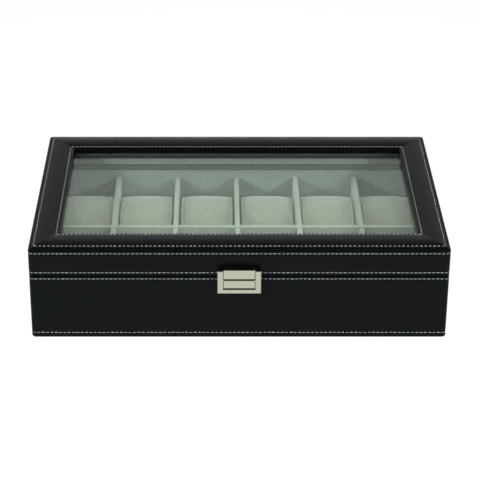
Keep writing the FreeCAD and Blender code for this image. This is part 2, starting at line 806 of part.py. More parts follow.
def lock_spring():
    """A bent leaf spring that stands on the back plate and bears on the button's lower half."""
    body = new_body("lock_spring")
    plate = "-(place.half_depth + size.back_plate)"
    button = "-(place.half_depth + size.lock_depth - size.button_thick)"
    foot = "place.bar_top"
    knee = "place.bar_top + size.spring_foot"
    tip = "place.pivot_height - size.pivot_barrel - size.spring_thick"
    corners = [
        (plate, foot),
        (plate, f"{knee} + size.spring_thick"),
        (f"{button} + size.spring_thick", tip),
        (button, tip),
        (button, f"{tip} - size.spring_thick"),
        (f"{plate} - size.spring_thick", knee),
        (f"{plate} - size.spring_thick", foot),
    ]
    leaf = polygon(body, "leaf", SIDE, "0", corners)
    pad(body, leaf, "size.spring_width", midplane=True)
    return piece(body)


def lock_fixings():
    """The pivot pin, and the screws that hold body and strike from inside the boards."""
    reach = "(place.opening_half + size.pin_seat)"
    pivot = (f"-{reach}", "place.pivot_y", "place.pivot_height")
    piece(rod("lock_pin", "x", pivot, f"2 * {reach}", "size.lock_pin"))
    length = "size.board_thick + size.leather_thick + size.screw_bite"
    strike_middle = "(place.lid_board_bottom + place.strike_top) / 2"
    spots = {
        "lock": ("place.lock_half - size.arm_width / 2", "place.bar_top"),
        "strike": ("place.plate_half - 2 * size.screw_head", strike_middle),
    }
    for name, (reach, height) in spots.items():
        screws = []
        for number, sign in enumerate("-+", start=1):
            start = (f"{sign}({reach})", "-place.board_in_y", height)
            screw = countersunk(f"{name}_screw_{number}", "y", start, length)
            for solid in screw.Shapes:
                solid.Placement.Rotation = FreeCAD.Rotation(FreeCAD.Vector(1, 0, 0), 90)
            screws.append(screw)
        piece(group(f"{name}_screws", screws))


# Pillows: a flattened oval roll, full in the middle and drawn in towards both end caps

PILLOW_STATIONS = (-1, -0.75, -0.4, 0, 0.4, 0.75, 1)
DRAW_POWER = 4


def pillow_section(station):
    """The pillow's outline across its length: a flat foot, two round sides and a crowned top."""
    draw = size.pillow_draw * abs(station) ** DRAW_POWER
    x = station * (place.slot_width / 2 - size.pillow_end_clear)
    half = place.slot_depth / 2 - size.pillow_face_clear - draw
    height = size.pillow_height - 2 * draw
    roll = size.pillow_roll * height / size.pillow_height
    foot = half - roll
    # The crown is the arc over the top that runs smoothly into both round sides
    centre = (foot ** 2 + roll ** 2 - (height - roll) ** 2) / (2 * (2 * roll - height))
    radius = height - centre
    share = radius / (radius - roll)
    shoulder = (foot * share, centre + (roll - centre) * share)

    def point(y, z):
        return FreeCAD.Vector(x, y, z + draw)

    edges = [
        Part.LineSegment(point(-foot, 0), point(foot, 0)),
        Part.Arc(point(foot, 0), point(half, roll), point(*shoulder)),
        Part.Arc(point(*shoulder), point(0, height), point(-shoulder[0], shoulder[1])),
        Part.Arc(point(-shoulder[0], shoulder[1]), point(-half, roll), point(-foot, 0)),
    ]
    return Part.Wire([edge.toShape() for edge in edges])


def pillows():
    """One pillow in the middle of every compartment, just clear of its floor."""
    shape = Part.makeLoft([pillow_section(station) for station in PILLOW_STATIONS], True)
    for row, sign in zip(ROW_NAMES, "-+"):
        for column in range(1, COLUMNS + 1):
            pillow = doc.addObject("Part::Feature", f"pillow_{row}_{column}")
            pillow.Shape = shape
            step = f"{column} - ({COLUMNS} + 1) / 2"
            pillow.setExpression("Placement.Base.x", f"({step}) * place.column_pitch")
            pillow.setExpression("Placement.Base.y", f"{sign}place.row_centre")
            pillow.setExpression("Placement.Base.z", "place.floor_top + size.soft_clear")
            piece(pillow)


def export():
    """Checks every object, then writes each sub-part to its own file."""
    doc.recompute()
    for item in doc.Objects:
        if "Invalid" in item.State or "Error" in item.State:
            raise RuntimeError(f"{item.Label} failed: {item.State}")
    for item in pieces:
        if item.Shape.isNull() or not item.Shape.isValid():
            raise RuntimeError(f"{item.Label} has no valid shape")
    os.makedirs("parts", exist_ok=True)
    for item in pieces:
        item.Shape.exportStep(f"parts/{item.Label}.step")
        print(item.Label, len(item.Shape.Solids), round(item.Shape.Volume, 2))


base_case()
lining()
lid_case()
hinges()
lock_body()
lock_button()
strike_plate()
lock_spring()
lock_fixings()
pillows()
export()
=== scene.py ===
import json
import math

import bpy
import numpy as np
from mathutils import Euler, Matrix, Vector


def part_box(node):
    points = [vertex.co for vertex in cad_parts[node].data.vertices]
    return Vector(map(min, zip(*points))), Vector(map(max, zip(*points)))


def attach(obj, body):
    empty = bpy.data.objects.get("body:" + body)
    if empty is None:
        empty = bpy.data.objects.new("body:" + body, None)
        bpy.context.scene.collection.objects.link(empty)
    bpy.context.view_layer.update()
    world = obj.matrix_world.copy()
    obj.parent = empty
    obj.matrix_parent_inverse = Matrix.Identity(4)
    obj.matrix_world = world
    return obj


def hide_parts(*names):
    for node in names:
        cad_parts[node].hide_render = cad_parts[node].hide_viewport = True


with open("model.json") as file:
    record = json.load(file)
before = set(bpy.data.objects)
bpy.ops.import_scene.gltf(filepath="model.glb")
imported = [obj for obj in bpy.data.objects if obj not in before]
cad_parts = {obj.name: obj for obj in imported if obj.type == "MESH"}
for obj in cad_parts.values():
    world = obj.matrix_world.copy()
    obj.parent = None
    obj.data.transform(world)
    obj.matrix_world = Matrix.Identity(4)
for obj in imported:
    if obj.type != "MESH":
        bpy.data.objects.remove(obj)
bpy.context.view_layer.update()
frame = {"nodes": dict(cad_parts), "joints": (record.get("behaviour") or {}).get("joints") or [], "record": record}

# A leather-covered watch box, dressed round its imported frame: covers, stitching, velvet, glass and metal.
# Everything is in metres, in the frame's own axes: the front faces -Y and +Z is up.

MM = 0.001
NODES = frame["nodes"]

# Places taken from the frame
BASE_LOW, BASE_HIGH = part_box("base_leather")
BAND_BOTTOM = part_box("lid_side_leather")[0].z
PANEL_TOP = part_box("lid_top_leather")[1].z
FRAME_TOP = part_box("lid_top_frame")[1].z
GLASS_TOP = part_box("window_glass")[1].z
BOTTOM_BOARD_LOW, BOTTOM_BOARD_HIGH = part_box("base_bottom_board")
BACK_BOARD_LOW, BACK_BOARD_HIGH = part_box("base_back_board")
FELT_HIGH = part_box("underside_felt")[1]
HINGE = Vector(frame["joints"][0]["pos_m"])
WALL_TOP = BACK_BOARD_HIGH.z
BOARD_THICK = BACK_BOARD_HIGH.y - BACK_BOARD_LOW.y
LEATHER_THICK = BASE_HIGH.x - BOTTOM_BOARD_HIGH.x

# The box's corners, and the rails round its window
CORNER = 3 * MM
TIGHT_CORNER = 0.4 * MM
WINDOW_CORNER = 1.5 * MM
FRONT_RAIL = 26 * MM
BACK_RAIL = 24.5 * MM
SIDE_RAIL = 22 * MM

# Rounded edges of the leather, and how many times its round from an edge a side's flat part starts
BOTTOM_ROUND = 1.6 * MM
RIM_ROUND = 0.9 * MM
WINDOW_ROUND = 0.8 * MM
PAST_ROUND = 1.1

# The leather ends this far above the glass
GLASS_GAP = 0.05 * MM

# The padded top: how far its crest rises, and how it falls to the outer edge and to the window
CROWN_RISE = 0.5 * MM
CROWN_RUN = 17 * MM
CROWN_DROP = 1.45 * MM
SAG_RUN = 15 * MM
SAG_DROP = 0.9 * MM

# The seam round the lid's top: the band rolls over the edge, and the panel out of the crevice to an angle
EDGE_TOP = 74.15 * MM
EDGE_ROLL = 1.4 * MM
SEAM_INSET = 1.9 * MM
SEAM_FLOOR = 73.6 * MM
PANEL_ROLL = 0.5 * MM
PANEL_ROLL_END = 70

# Stitches, which are shorter and thicker on the padded top, and the groove that they draw in the leather
STITCH_PITCH = 3.24 * MM
STITCH_LENGTH = 2.9 * MM
PADDED_STITCH_LENGTH = 2.15 * MM
PADDED_SWELL = 1.2
GROOVE_DEPTH = 0.26 * MM
GROOVE_WIDTH = 0.75 * MM
PUCKER = 0.45

# Rows: their distances in from the box's edges, out from the window's edges, and their heights on the sides
OUTER_ROW_SIDE = 3.7 * MM
OUTER_ROW_FRONT = 5.5 * MM
OUTER_ROW_BACK = 4.2 * MM
WINDOW_ROW_SIDE = 2.9 * MM
WINDOW_ROW_FRONT = 1.6 * MM
WINDOW_ROW_BACK = 2.2 * MM
LID_UPPER_ROW = 71.0 * MM
LID_LOWER_ROW = 55.25 * MM
BASE_UPPER_ROW = 50.1 * MM
BASE_LOWER_ROW = 4.55 * MM

# How finely the covers are meshed
SIDE_STEP = 1.1 * MM
RISE_STEP = 6 * MM
CORNER_STEPS = 6
ARC_STEPS = 5
EDGE_LOOPS = 3
RAIL_LOOPS = 6


# Outlines seen from above


class Outline:
    """A rectangle with round corners between a front and a back."""

    def __init__(self, half_x, front, back, radius):
        self.half_x = half_x
        self.front = front
        self.back = back
        self.radius = radius

    def inset(self, by):
        """The outline drawn in by a distance, or let out by a negative one."""
        radius = max(self.radius - by, TIGHT_CORNER)
        return Outline(self.half_x - by, self.front + by, self.back - by, radius)

    def towards(self, other, share):
        """An outline part of the way to another one."""
        pairs = zip(vars(self).values(), vars(other).values())
        return Outline(*(mine + (its - mine) * share for mine, its in pairs))

    def walk(self, counts):
        """Points and outward normals anticlockwise from the front right corner, as two arrays."""
        right = self.half_x - self.radius
        front = self.front + self.radius
        back = self.back - self.radius
        centres = [(right, front), (right, back), (-right, back), (-right, front)]
        points = []
        normals = []
        for number, centre in enumerate(centres):
            angles = np.linspace(number - 1, number, CORNER_STEPS + 1) * math.pi / 2
            round_normals = np.stack([np.cos(angles), np.sin(angles)], axis=1)
            points.append(np.array(centre) + self.radius * round_normals)
            normals.append(round_normals)
            following = np.array(centres[(number + 1) % len(centres)])
            count = counts[(number + 1) % 2]
            shares = np.arange(1, count)[:, None] / count
            start = points[-1][-1]
            end = following + self.radius * round_normals[-1]
            points.append(start + (end - start) * shares)
            normals.append(np.repeat(round_normals[-1:], count - 1, axis=0))
        return np.concatenate(points), np.concatenate(normals)


def mesh_counts(outline):
    """How many steps the long and the short sides of an outline are divided into."""
    long_side = 2 * (outline.half_x - outline.radius)
    short_side = outline.back - outline.front - 2 * outline.radius
    return round(long_side / SIDE_STEP), round(short_side / SIDE_STEP)


OUTER = Outline(BASE_HIGH.x, BASE_LOW.y, BASE_HIGH.y, CORNER)
COUNTS = mesh_counts(OUTER)
WINDOW = Outline(OUTER.half_x - SIDE_RAIL, OUTER.front + FRONT_RAIL, OUTER.back - BACK_RAIL, WINDOW_CORNER)


# Stitch rows


class Row:
    """One row of stitches round an outline, with whole stitches between its corners."""

    def __init__(self, outline, height, upward):
        self.outline = outline
        self.height = height
        self.upward = upward
        self.points, self.normals = outline.walk(COUNTS)
        steps = np.linalg.norm(np.roll(self.points, -1, axis=0) - self.points, axis=1)
        self.travel = np.concatenate([[0.0], np.cumsum(steps)])
        block = CORNER_STEPS + np.array([COUNTS[1], COUNTS[0]] * 2)
        first = CORNER_STEPS // 2
        corners = np.concatenate([[first], first + np.cumsum(block)])
        self.breaks = np.append(self.travel, self.travel[1:] + self.travel[-1])[corners]
        self.numbers = np.round(np.diff(self.breaks) / STITCH_PITCH).astype(int)

    def phase(self):
        """Where each point of the walk lies between the stitches: whole numbers are needle holes."""
        travel = self.travel[:-1]
        travel = np.where(travel < self.breaks[0], travel + self.travel[-1], travel)
        side = np.clip(np.searchsorted(self.breaks, travel, side="right") - 1, 0, len(self.numbers) - 1)
        spans = np.diff(self.breaks)
        return (travel - self.breaks[side]) / spans[side] * self.numbers[side]

    def middles(self):
        """The travel at the middle of every stitch."""
        spans = zip(self.breaks, self.breaks[1:], self.numbers)
        return np.concatenate([np.arange(0.5, n) / n * (b - a) + a for a, b, n in spans])

    def at(self, travel):
        """Points and outward normals at given travels round the row."""
        travel = np.mod(travel, self.travel[-1])
        wrapped = np.vstack([self.points, self.points[:1]])
        turned = np.vstack([self.normals, self.normals[:1]])
        point = np.stack([np.interp(travel, self.travel, wrapped[:, axis]) for axis in range(2)], axis=-1)
        normal = np.stack([np.interp(travel, self.travel, turned[:, axis]) for axis in range(2)], axis=-1)
        return point, normal / np.linalg.norm(normal, axis=-1, keepdims=True)


def dent(row, offset):
    """How deep the leather is drawn in at a distance from a row, point by point round it."""
    pull = GROOVE_DEPTH * math.exp(-((offset / GROOVE_WIDTH) ** 2))
    return pull * (1 + PUCKER * np.cos(2 * math.pi * row.phase()))


GROOVE_OFFSETS = [share * GROOVE_WIDTH for share in (-2.2, -1.3, -0.8, -0.4, 0, 0.4, 0.8, 1.3, 2.2)]


# Meshes


def new_object(name, verts, faces):
    mesh = bpy.data.meshes.new(name)
    mesh.from_pydata([tuple(vert) for vert in verts], [], [tuple(face) for face in faces])
    mesh.validate()
    obj = bpy.data.objects.new(name, mesh)
    bpy.context.scene.collection.objects.link(obj)
    for polygon in mesh.polygons:
        polygon.use_smooth = True
    return obj


def ring_faces(rings, count):
    """Quads between neighbouring rings of points, the last joined to the first."""
    ring, spot = np.meshgrid(np.arange(rings), np.arange(count), indexing="ij")
    here = ring * count
    there = (ring + 1) % rings * count
    after = (spot + 1) % count
    return np.stack([here + spot, here + after, there + after, there + spot], axis=-1).reshape(-1, 4)


def cover(name, loops):
    """A closed leather shell from loops round the box: outline, height, and pulls in and down."""
    verts = []
    for outline, height, pull_in, pull_down in loops:
        points, normals = outline.walk(COUNTS)
        points = points - normals * np.reshape(pull_in, (-1, 1))
        heights = np.broadcast_to(height - np.reshape(pull_down, (-1, 1)), (len(points), 1))
        verts.append(np.hstack([points, heights]))
    faces = ring_faces(len(loops), len(verts[0]))
    return new_object(name, np.concatenate(verts), faces)


def plain(outline, height):
    return outline, height, 0.0, 0.0


def arc(outline, centre_inset, centre_height, radius, angles, bend=(1, 1)):
    """Loops round a rounded edge whose centre is given, swept between two angles in degrees."""
    loops = []
    for angle in np.linspace(*angles, ARC_STEPS + 1):
        turn = math.radians(angle)
        inset = centre_inset - radius * math.cos(turn) * bend[0]
        loops.append(plain(outline.inset(inset), centre_height + radius * math.sin(turn) * bend[1]))
    return loops


def side_loops(low, high, rows):
    """Loops up a side face, close together about each stitch row."""
    fine = [row.height + offset for row in rows for offset in GROOVE_OFFSETS]
    fine = [height for height in fine if low <= height <= high]
    coarse = np.linspace(low, high, max(2, round((high - low) / RISE_STEP)))
    apart = 0.5 * GROOVE_WIDTH
    coarse = [height for height in coarse if all(abs(height - near) > apart for near in fine)]
    loops = []
    for height in sorted(fine + coarse):
        pull = sum(dent(row, height - row.height) for row in rows)
        loops.append((OUTER, height, pull, 0.0))
    return loops


def cut_rooms(obj, rooms):
    """Takes room shapes out of a cover for good."""
    for room in rooms:
        change = obj.modifiers.new(room.name, "BOOLEAN")
        change.object = room
        change.solver = "EXACT"
    graph = bpy.context.evaluated_depsgraph_get()
    obj.data = bpy.data.meshes.new_from_object(obj.evaluated_get(graph))
    obj.modifiers.clear()
    for room in rooms:
        bpy.data.objects.remove(room)
    for polygon in obj.data.polygons:
        polygon.use_smooth = True


def room_block(name, low, high):
    corners = [(x, y, z) for x in (low[0], high[0]) for y in (low[1], high[1]) for z in (low[2], high[2])]
    faces = [(0, 1, 3, 2), (4, 6, 7, 5), (0, 4, 5, 1), (2, 3, 7, 6), (0, 2, 6, 4), (1, 5, 7, 3)]
    return new_object(name, corners, faces)


def room_rod(name, low_x, high_x, radius, sides=24):
    """A round room along the hinge line."""
    angles = np.arange(sides) * 2 * math.pi / sides
    ring = np.stack([HINGE.y + radius * np.cos(angles), HINGE.z + radius * np.sin(angles)], axis=1)
    verts = [(x, y, z) for x in (low_x, high_x) for y, z in ring]
    faces = [(i, (i + 1) % sides, sides + (i + 1) % sides, sides + i) for i in range(sides)]
    faces.append(tuple(reversed(range(sides))))
    faces.append(tuple(range(sides, 2 * sides)))
    return new_object(name, verts, faces)


# The hinges' rooms in the covers: clear of the leaves, round the barrels, and cut past the leather
LEAF_CLEAR = 0.2 * MM
BARREL_ROOM = 2.2 * MM
PAST = 2 * MM


def hinge_rooms(kind, low, high):
    """The rooms that both hinges take in a cover, between two heights."""
    rooms = []
    for side in ("left", "right"):
        leaf_low, leaf_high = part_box(f"{side}_hinge_{kind}_leaf")
        x = leaf_low.x - LEAF_CLEAR, leaf_high.x + LEAF_CLEAR
        y = leaf_low.y - LEAF_CLEAR, OUTER.back + PAST
        rooms.append(room_block(f"{side}_leaf_room", (x[0], y[0], low), (x[1], y[1], high)))
        rooms.append(room_rod(f"{side}_barrel_room", *x, BARREL_ROOM))
    return rooms


def base_cover(rows):
    """The base's leather: under the bottom edge, up the walls and over the rim."""
    bottom = BASE_LOW.z
    top = BASE_HIGH.z
    under = OUTER.half_x - FELT_HIGH.x
    inside = LEATHER_THICK + BOARD_THICK + LEATHER_THICK
    inner_round = BOTTOM_ROUND - LEATHER_THICK
    board_bottom = BOTTOM_BOARD_LOW.z
    loops = [plain(OUTER.inset(under), bottom)]
    loops += arc(OUTER, BOTTOM_ROUND, bottom + BOTTOM_ROUND, BOTTOM_ROUND, (-90, 0))
    loops += side_loops(bottom + PAST_ROUND * BOTTOM_ROUND, top - PAST_ROUND * RIM_ROUND, rows)
    loops += arc(OUTER, RIM_ROUND, top - RIM_ROUND, RIM_ROUND, (0, 90))
    loops += arc(OUTER, inside - RIM_ROUND, top - RIM_ROUND, RIM_ROUND, (90, 180))
    loops.append(plain(OUTER.inset(inside), WALL_TOP))
    loops.append(plain(OUTER.inset(LEATHER_THICK), WALL_TOP))
    loops += reversed(arc(OUTER, BOTTOM_ROUND, board_bottom + inner_round, inner_round, (-90, 0)))
    loops.append(plain(OUTER.inset(under), board_bottom))
    skin = cover("base_cover", loops)
    cut_rooms(skin, hinge_rooms("base", WALL_TOP, top + PAST))
    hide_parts("base_leather")
    return skin


def lid_band(rows):
    """The leather round the lid's sides, turned under its rim and rolled over the edge into the seam."""
    bottom = BAND_BOTTOM
    board_in = LEATHER_THICK + BOARD_THICK
    loops = [plain(OUTER.inset(board_in), bottom)]
    loops += arc(OUTER, RIM_ROUND, bottom + RIM_ROUND, RIM_ROUND, (-90, 0))
    loops += side_loops(bottom + PAST_ROUND * RIM_ROUND, EDGE_TOP - PAST_ROUND * EDGE_ROLL, rows)
    loops += arc(OUTER, EDGE_ROLL, EDGE_TOP - EDGE_ROLL, EDGE_ROLL, (0, 90))
    loops.append(plain(OUTER.inset(SEAM_INSET), SEAM_FLOOR))
    loops.append(plain(OUTER.inset(LEATHER_THICK), FRAME_TOP))
    loops.append(plain(OUTER.inset(LEATHER_THICK), bottom + LEATHER_THICK))
    loops.append(plain(OUTER.inset(board_in), bottom + LEATHER_THICK))
    skin = cover("lid_band", loops)
    cut_rooms(skin, hinge_rooms("lid", bottom - PAST, bottom + LEATHER_THICK))
    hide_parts("lid_side_leather")
    return skin


def crown(from_edge, from_window):
    """How far the padded top lies below its highest line, going by the distance to both its edges."""
    outer = max(0.0, 1 - from_edge / CROWN_RUN)
    inner = max(0.0, 1 - from_window / SAG_RUN)
    return CROWN_DROP * outer**2 + SAG_DROP * inner**2


def panel_height(outline):
    """The height of the padded top along an outline."""
    return PANEL_TOP + CROWN_RISE - crown(outline.front - OUTER.front, WINDOW.front - outline.front)


def padded_loops(outlines):
    """Loops that lie on the padded top."""
    return [plain(outline, panel_height(outline)) for outline in outlines]


def groove_loops(row, offsets):
    """Loops across a stitch row on the padded top, drawn down beside it."""
    loops = []
    for offset in offsets:
        outline = row.outline.inset(offset)
        loops.append((outline, panel_height(outline), 0.0, dent(row, offset)))
    return loops


def window_loops():
    """Loops over the window's rounded edge, down to the glass and back under the leather."""
    fold_top = panel_height(WINDOW.inset(-WINDOW_ROUND))
    loops = []
    for angle in np.linspace(0, math.pi / 2, ARC_STEPS + 1):
        inset = -WINDOW_ROUND * (1 - math.sin(angle))
        loops.append(plain(WINDOW.inset(inset), fold_top - WINDOW_ROUND * (1 - math.cos(angle))))
    lip = GLASS_TOP + GLASS_GAP
    within = WINDOW.inset(-LEATHER_THICK)
    loops.append(plain(WINDOW, (lip + fold_top) / 2))
    loops.append(plain(WINDOW, lip))
    loops.append(plain(within, lip))
    loops.append(plain(within, FRAME_TOP))
    return loops


def lid_panel(outer_row, inner_row):
    """The padded top of the lid: from the edge seam, over the crown and down to the glass."""
    start = SEAM_INSET + PANEL_ROLL
    end = outer_row.outline.front - OUTER.front + GROOVE_OFFSETS[0]
    edges = [OUTER.inset(by) for by in np.linspace(start, end, EDGE_LOOPS + 1)[:-1]]
    first = outer_row.outline.inset(GROOVE_OFFSETS[-1])
    last = inner_row.outline.inset(GROOVE_OFFSETS[0])
    rails = [first.towards(last, share) for share in np.linspace(0, 1, RAIL_LOOPS + 2)[1:-1]]
    rise = (panel_height(OUTER.inset(start)) - SEAM_FLOOR) / (2 * PANEL_ROLL)
    roll_centre = SEAM_FLOOR + PANEL_ROLL * rise
    loops = arc(OUTER, start, roll_centre, PANEL_ROLL, (-90, PANEL_ROLL_END), (1, rise))
    loops += padded_loops(edges)
    loops += groove_loops(outer_row, GROOVE_OFFSETS)
    loops += padded_loops(rails)
    loops += groove_loops(inner_row, [offset for offset in GROOVE_OFFSETS if offset <= GROOVE_WIDTH])
    loops += window_loops()
    loops.append(plain(OUTER.inset(LEATHER_THICK), FRAME_TOP))
    skin = cover("lid_panel", loops)
    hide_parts("lid_top_leather")
    return skin


# Thread: every stitch is two plies twisted together, sunk at both ends

THREAD_RADIUS = 0.105 * MM
PLIES = 2
PLY_SIDES = 6
PLY_STEPS = 8
TWIST_TURNS = 0.75
PLY_OFFSET = 0.09 * MM
THREAD_RISE = 0.16 * MM
THREAD_SINK = 0.6 * MM
SINK_POWER = 6
SLANT = 0.12 * MM


def stitch_pattern(length, thick):
    """Points of one stitch as along, across and out, with its faces."""
    offset = PLY_OFFSET * thick
    radius = THREAD_RADIUS * thick
    points = []
    faces = []
    for ply in range(PLIES):
        first = len(points)
        for share in np.linspace(-1, 1, PLY_STEPS + 1):
            turn = math.pi * (TWIST_TURNS * share + 2 * ply / PLIES)
            along = share * length / 2
            across = SLANT * share + offset * math.cos(turn)
            out = THREAD_RISE - (THREAD_RISE + THREAD_SINK) * share**SINK_POWER + offset * math.sin(turn)
            middle = np.array([along, across, out])
            for side in range(PLY_SIDES):
                angle = 2 * math.pi * side / PLY_SIDES
                points.append(middle + radius * np.array([0, math.cos(angle), math.sin(angle)]))
        for step in range(PLY_STEPS):
            for side in range(PLY_SIDES):
                low = first + step * PLY_SIDES
                after = (side + 1) % PLY_SIDES
                faces.append((low + side, low + after, low + PLY_SIDES + after, low + PLY_SIDES + side))
    return np.array(points), np.array(faces)


def stitches(name, row, body):
    """All the stitches of one row as one piece of thread work."""
    shape = (PADDED_STITCH_LENGTH, PADDED_SWELL) if row.upward else (STITCH_LENGTH, 1)
    points, faces = stitch_pattern(*shape)
    middles = row.middles()
    travel = middles[:, None] + points[None, :, 0]
    where, normal = row.at(travel)
    across = np.broadcast_to(points[None, :, 1], travel.shape)
    out = np.broadcast_to(points[None, :, 2], travel.shape) - GROOVE_DEPTH
    if row.upward:
        flat = where - normal * across[..., None]
        height = row.height + out
    else:
        flat = where + normal * out[..., None]
        height = row.height + across
    verts = np.concatenate([flat, height[..., None]], axis=-1).reshape(-1, 3)
    steps = np.arange(len(middles))[:, None, None] * len(points)
    obj = new_object(name, verts, (faces[None] + steps).reshape(-1, 4))
    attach(obj, body)
    return obj


def row_outline(edge, side, front, back):
    """A row's outline on the lid's top, at its own distance in from each side of an edge."""
    return Outline(edge.half_x - side, edge.front + front, edge.back - back, TIGHT_CORNER)


def stitch_rows():
    """The six rows: two on the lid's top, two round its sides and two round the base."""
    outer = row_outline(OUTER, OUTER_ROW_SIDE, OUTER_ROW_FRONT, OUTER_ROW_BACK)
    inner = row_outline(WINDOW, -WINDOW_ROW_SIDE, -WINDOW_ROW_FRONT, -WINDOW_ROW_BACK)
    return {
        "lid_outer_thread": Row(outer, panel_height(outer), True),
        "lid_window_thread": Row(inner, panel_height(inner), True),
        "lid_upper_thread": Row(OUTER, LID_UPPER_ROW, False),
        "lid_lower_thread": Row(OUTER, LID_LOWER_ROW, False),
        "base_upper_thread": Row(OUTER, BASE_UPPER_ROW, False),
        "base_lower_thread": Row(OUTER, BASE_LOWER_ROW, False),
    }


# Pillows: a velvet tube swollen over its filling, with a sewn cap at each end

PILLOW_DRAW = 0.9 * MM
PILLOW_ROLL = 10.5 * MM
DRAW_POWER = 18
CAP_WIDTH = 2.3 * MM
CAP_ROUND = 0.9 * MM
CAP_BULGE = 0.5 * MM
SEAM_DEPTH = 0.6 * MM
SEAM_WIDTH = 0.75 * MM
PLUMP = 1.0 * MM

# How finely a pillow is meshed, with places about a seam in seam widths and rings on a cap in shares of it
RING_POINTS = 72
INNER_STATIONS = 13
INNER_END = 3
SEAM_STATIONS = (-2, -1.2, -0.6, -0.25, 0, 0.25, 0.6, 1.2)
CAP_STATIONS = 6
CAP_SHARES = (0.85, 0.62, 0.36, 0.12)

# How a pillow is blown up as cloth
CLOTH_MASS = 0.01
SWELL_PRESSURE = 250
SWELL_FRAMES = 20
SWELL_CAP = 0.6 * MM
SWELL_STATIONS = 15
UNEVEN = 0.12 * MM
PILLOW_KINDS = 3

PILLOW_LOW, PILLOW_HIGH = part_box("pillow_front_1")
PILLOW_REACH = (PILLOW_HIGH.x - PILLOW_LOW.x) / 2
PILLOW_HALF = (PILLOW_HIGH.y - PILLOW_LOW.y) / 2
PILLOW_HEIGHT = PILLOW_HIGH.z - PILLOW_LOW.z + PLUMP
PILLOW_SEAM = PILLOW_REACH - CAP_WIDTH


def pillow_outline(half, height, roll):
    """The pillow's outline across its length: a flat foot, two round sides and a crown that meets them."""
    foot = half - roll
    centre = (foot**2 + roll**2 - (height - roll) ** 2) / (2 * (2 * roll - height))
    radius = height - centre
    lean = math.atan2(foot, roll - centre)
    side = np.linspace(-math.pi / 2, math.pi / 2 - lean, RING_POINTS // 4, endpoint=False)
    top = np.linspace(math.pi / 2 - lean, math.pi / 2, RING_POINTS // 4, endpoint=False)
    right = np.concatenate([
        np.stack([foot + roll * np.cos(side), roll + roll * np.sin(side)], axis=1),
        np.stack([radius * np.cos(top), centre + radius * np.sin(top)], axis=1),
    ])
    left = right[::-1] * (-1, 1)
    ridge = np.array([[0.0, height]])
    bottom = np.linspace(-foot, foot, RING_POINTS // 6 + 2)[1:-1, None]
    bottom = np.hstack([bottom, np.zeros_like(bottom)])
    return np.concatenate([right, ridge, left, bottom])


def pillow_rings(stations):
    """The pillow's rings at stations along its length, as an array of stations by points by coordinates."""
    rings = []
    for x in stations:
        draw = PILLOW_DRAW * (abs(x) / PILLOW_REACH) ** DRAW_POWER
        draw += SEAM_DEPTH * math.exp(-(((abs(x) - PILLOW_SEAM) / (SEAM_WIDTH / 2)) ** 2))
        past = max(0.0, abs(x) - (PILLOW_REACH - CAP_ROUND)) / CAP_ROUND
        draw += CAP_ROUND * (1 - math.sqrt(max(0.0, 1 - past**2)))
        full = PILLOW_HEIGHT - 2 * draw
        outline = pillow_outline(PILLOW_HALF - draw, full, PILLOW_ROLL * full / PILLOW_HEIGHT)
        rings.append(np.column_stack([np.full(len(outline), x), outline + (0, draw)]))
    return np.array(rings)


def tube_faces(rings, count):
    """Quads along a tube of rings, closed by a face at each end."""
    faces = [tuple(face) for face in ring_faces(rings, count)[: (rings - 1) * count]]
    last = (rings - 1) * count
    return faces + [tuple(reversed(range(count))), tuple(range(last, last + count))]


def swell(stations, seed):
    """How far the velvet between the seams moves when it is blown up as cloth, its seams and foot held."""
    rings = pillow_rings(stations)
    shape = rings.shape
    rest = rings.reshape(-1, 3)
    uneven = np.random.default_rng(seed).normal(0, UNEVEN, rest.shape)
    obj = new_object("pillow_cloth", rest + uneven, tube_faces(*shape[:2]))
    ends = np.zeros(shape[:2], dtype=bool)
    ends[[0, -1]] = True
    held = ends.ravel() | (rest[:, 2] < SEAM_WIDTH + PILLOW_DRAW)
    obj.vertex_groups.new(name="held").add([int(spot) for spot in np.flatnonzero(held)], 1.0, "REPLACE")
    cloth = obj.modifiers.new("cloth", "CLOTH")
    cloth.settings.mass = CLOTH_MASS
    cloth.settings.use_pressure = True
    cloth.settings.uniform_pressure_force = SWELL_PRESSURE
    cloth.settings.vertex_group_mass = "held"
    cloth.settings.effector_weights.gravity = 0
    cloth.collision_settings.use_collision = False
    for number in range(1, SWELL_FRAMES + 1):
        bpy.context.scene.frame_set(number)
    graph = bpy.context.evaluated_depsgraph_get()
    blown = obj.evaluated_get(graph).to_mesh()
    move = np.array([vert.co for vert in blown.vertices]) - rest
    bpy.context.scene.frame_set(1)
    bpy.data.objects.remove(obj)
    length = np.linalg.norm(move, axis=1, keepdims=True)
    move *= np.minimum(1, SWELL_CAP / np.maximum(length, SWELL_CAP))
    move[held] = 0
    return move.reshape(shape)


def pillow_cap(edge):
    """Rings that close a pillow's end in a low bulge, from its edge inwards."""
    centre = np.array([0, 0, PILLOW_HEIGHT / 2])
    bulge = CAP_BULGE * np.sign(edge[0, 0])
    rings = []
    for share in CAP_SHARES:
        ring = centre + (edge - centre) * (1, share, share)
        ring[:, 0] += bulge * (1 - share**2)
        rings.append(ring)
    return rings


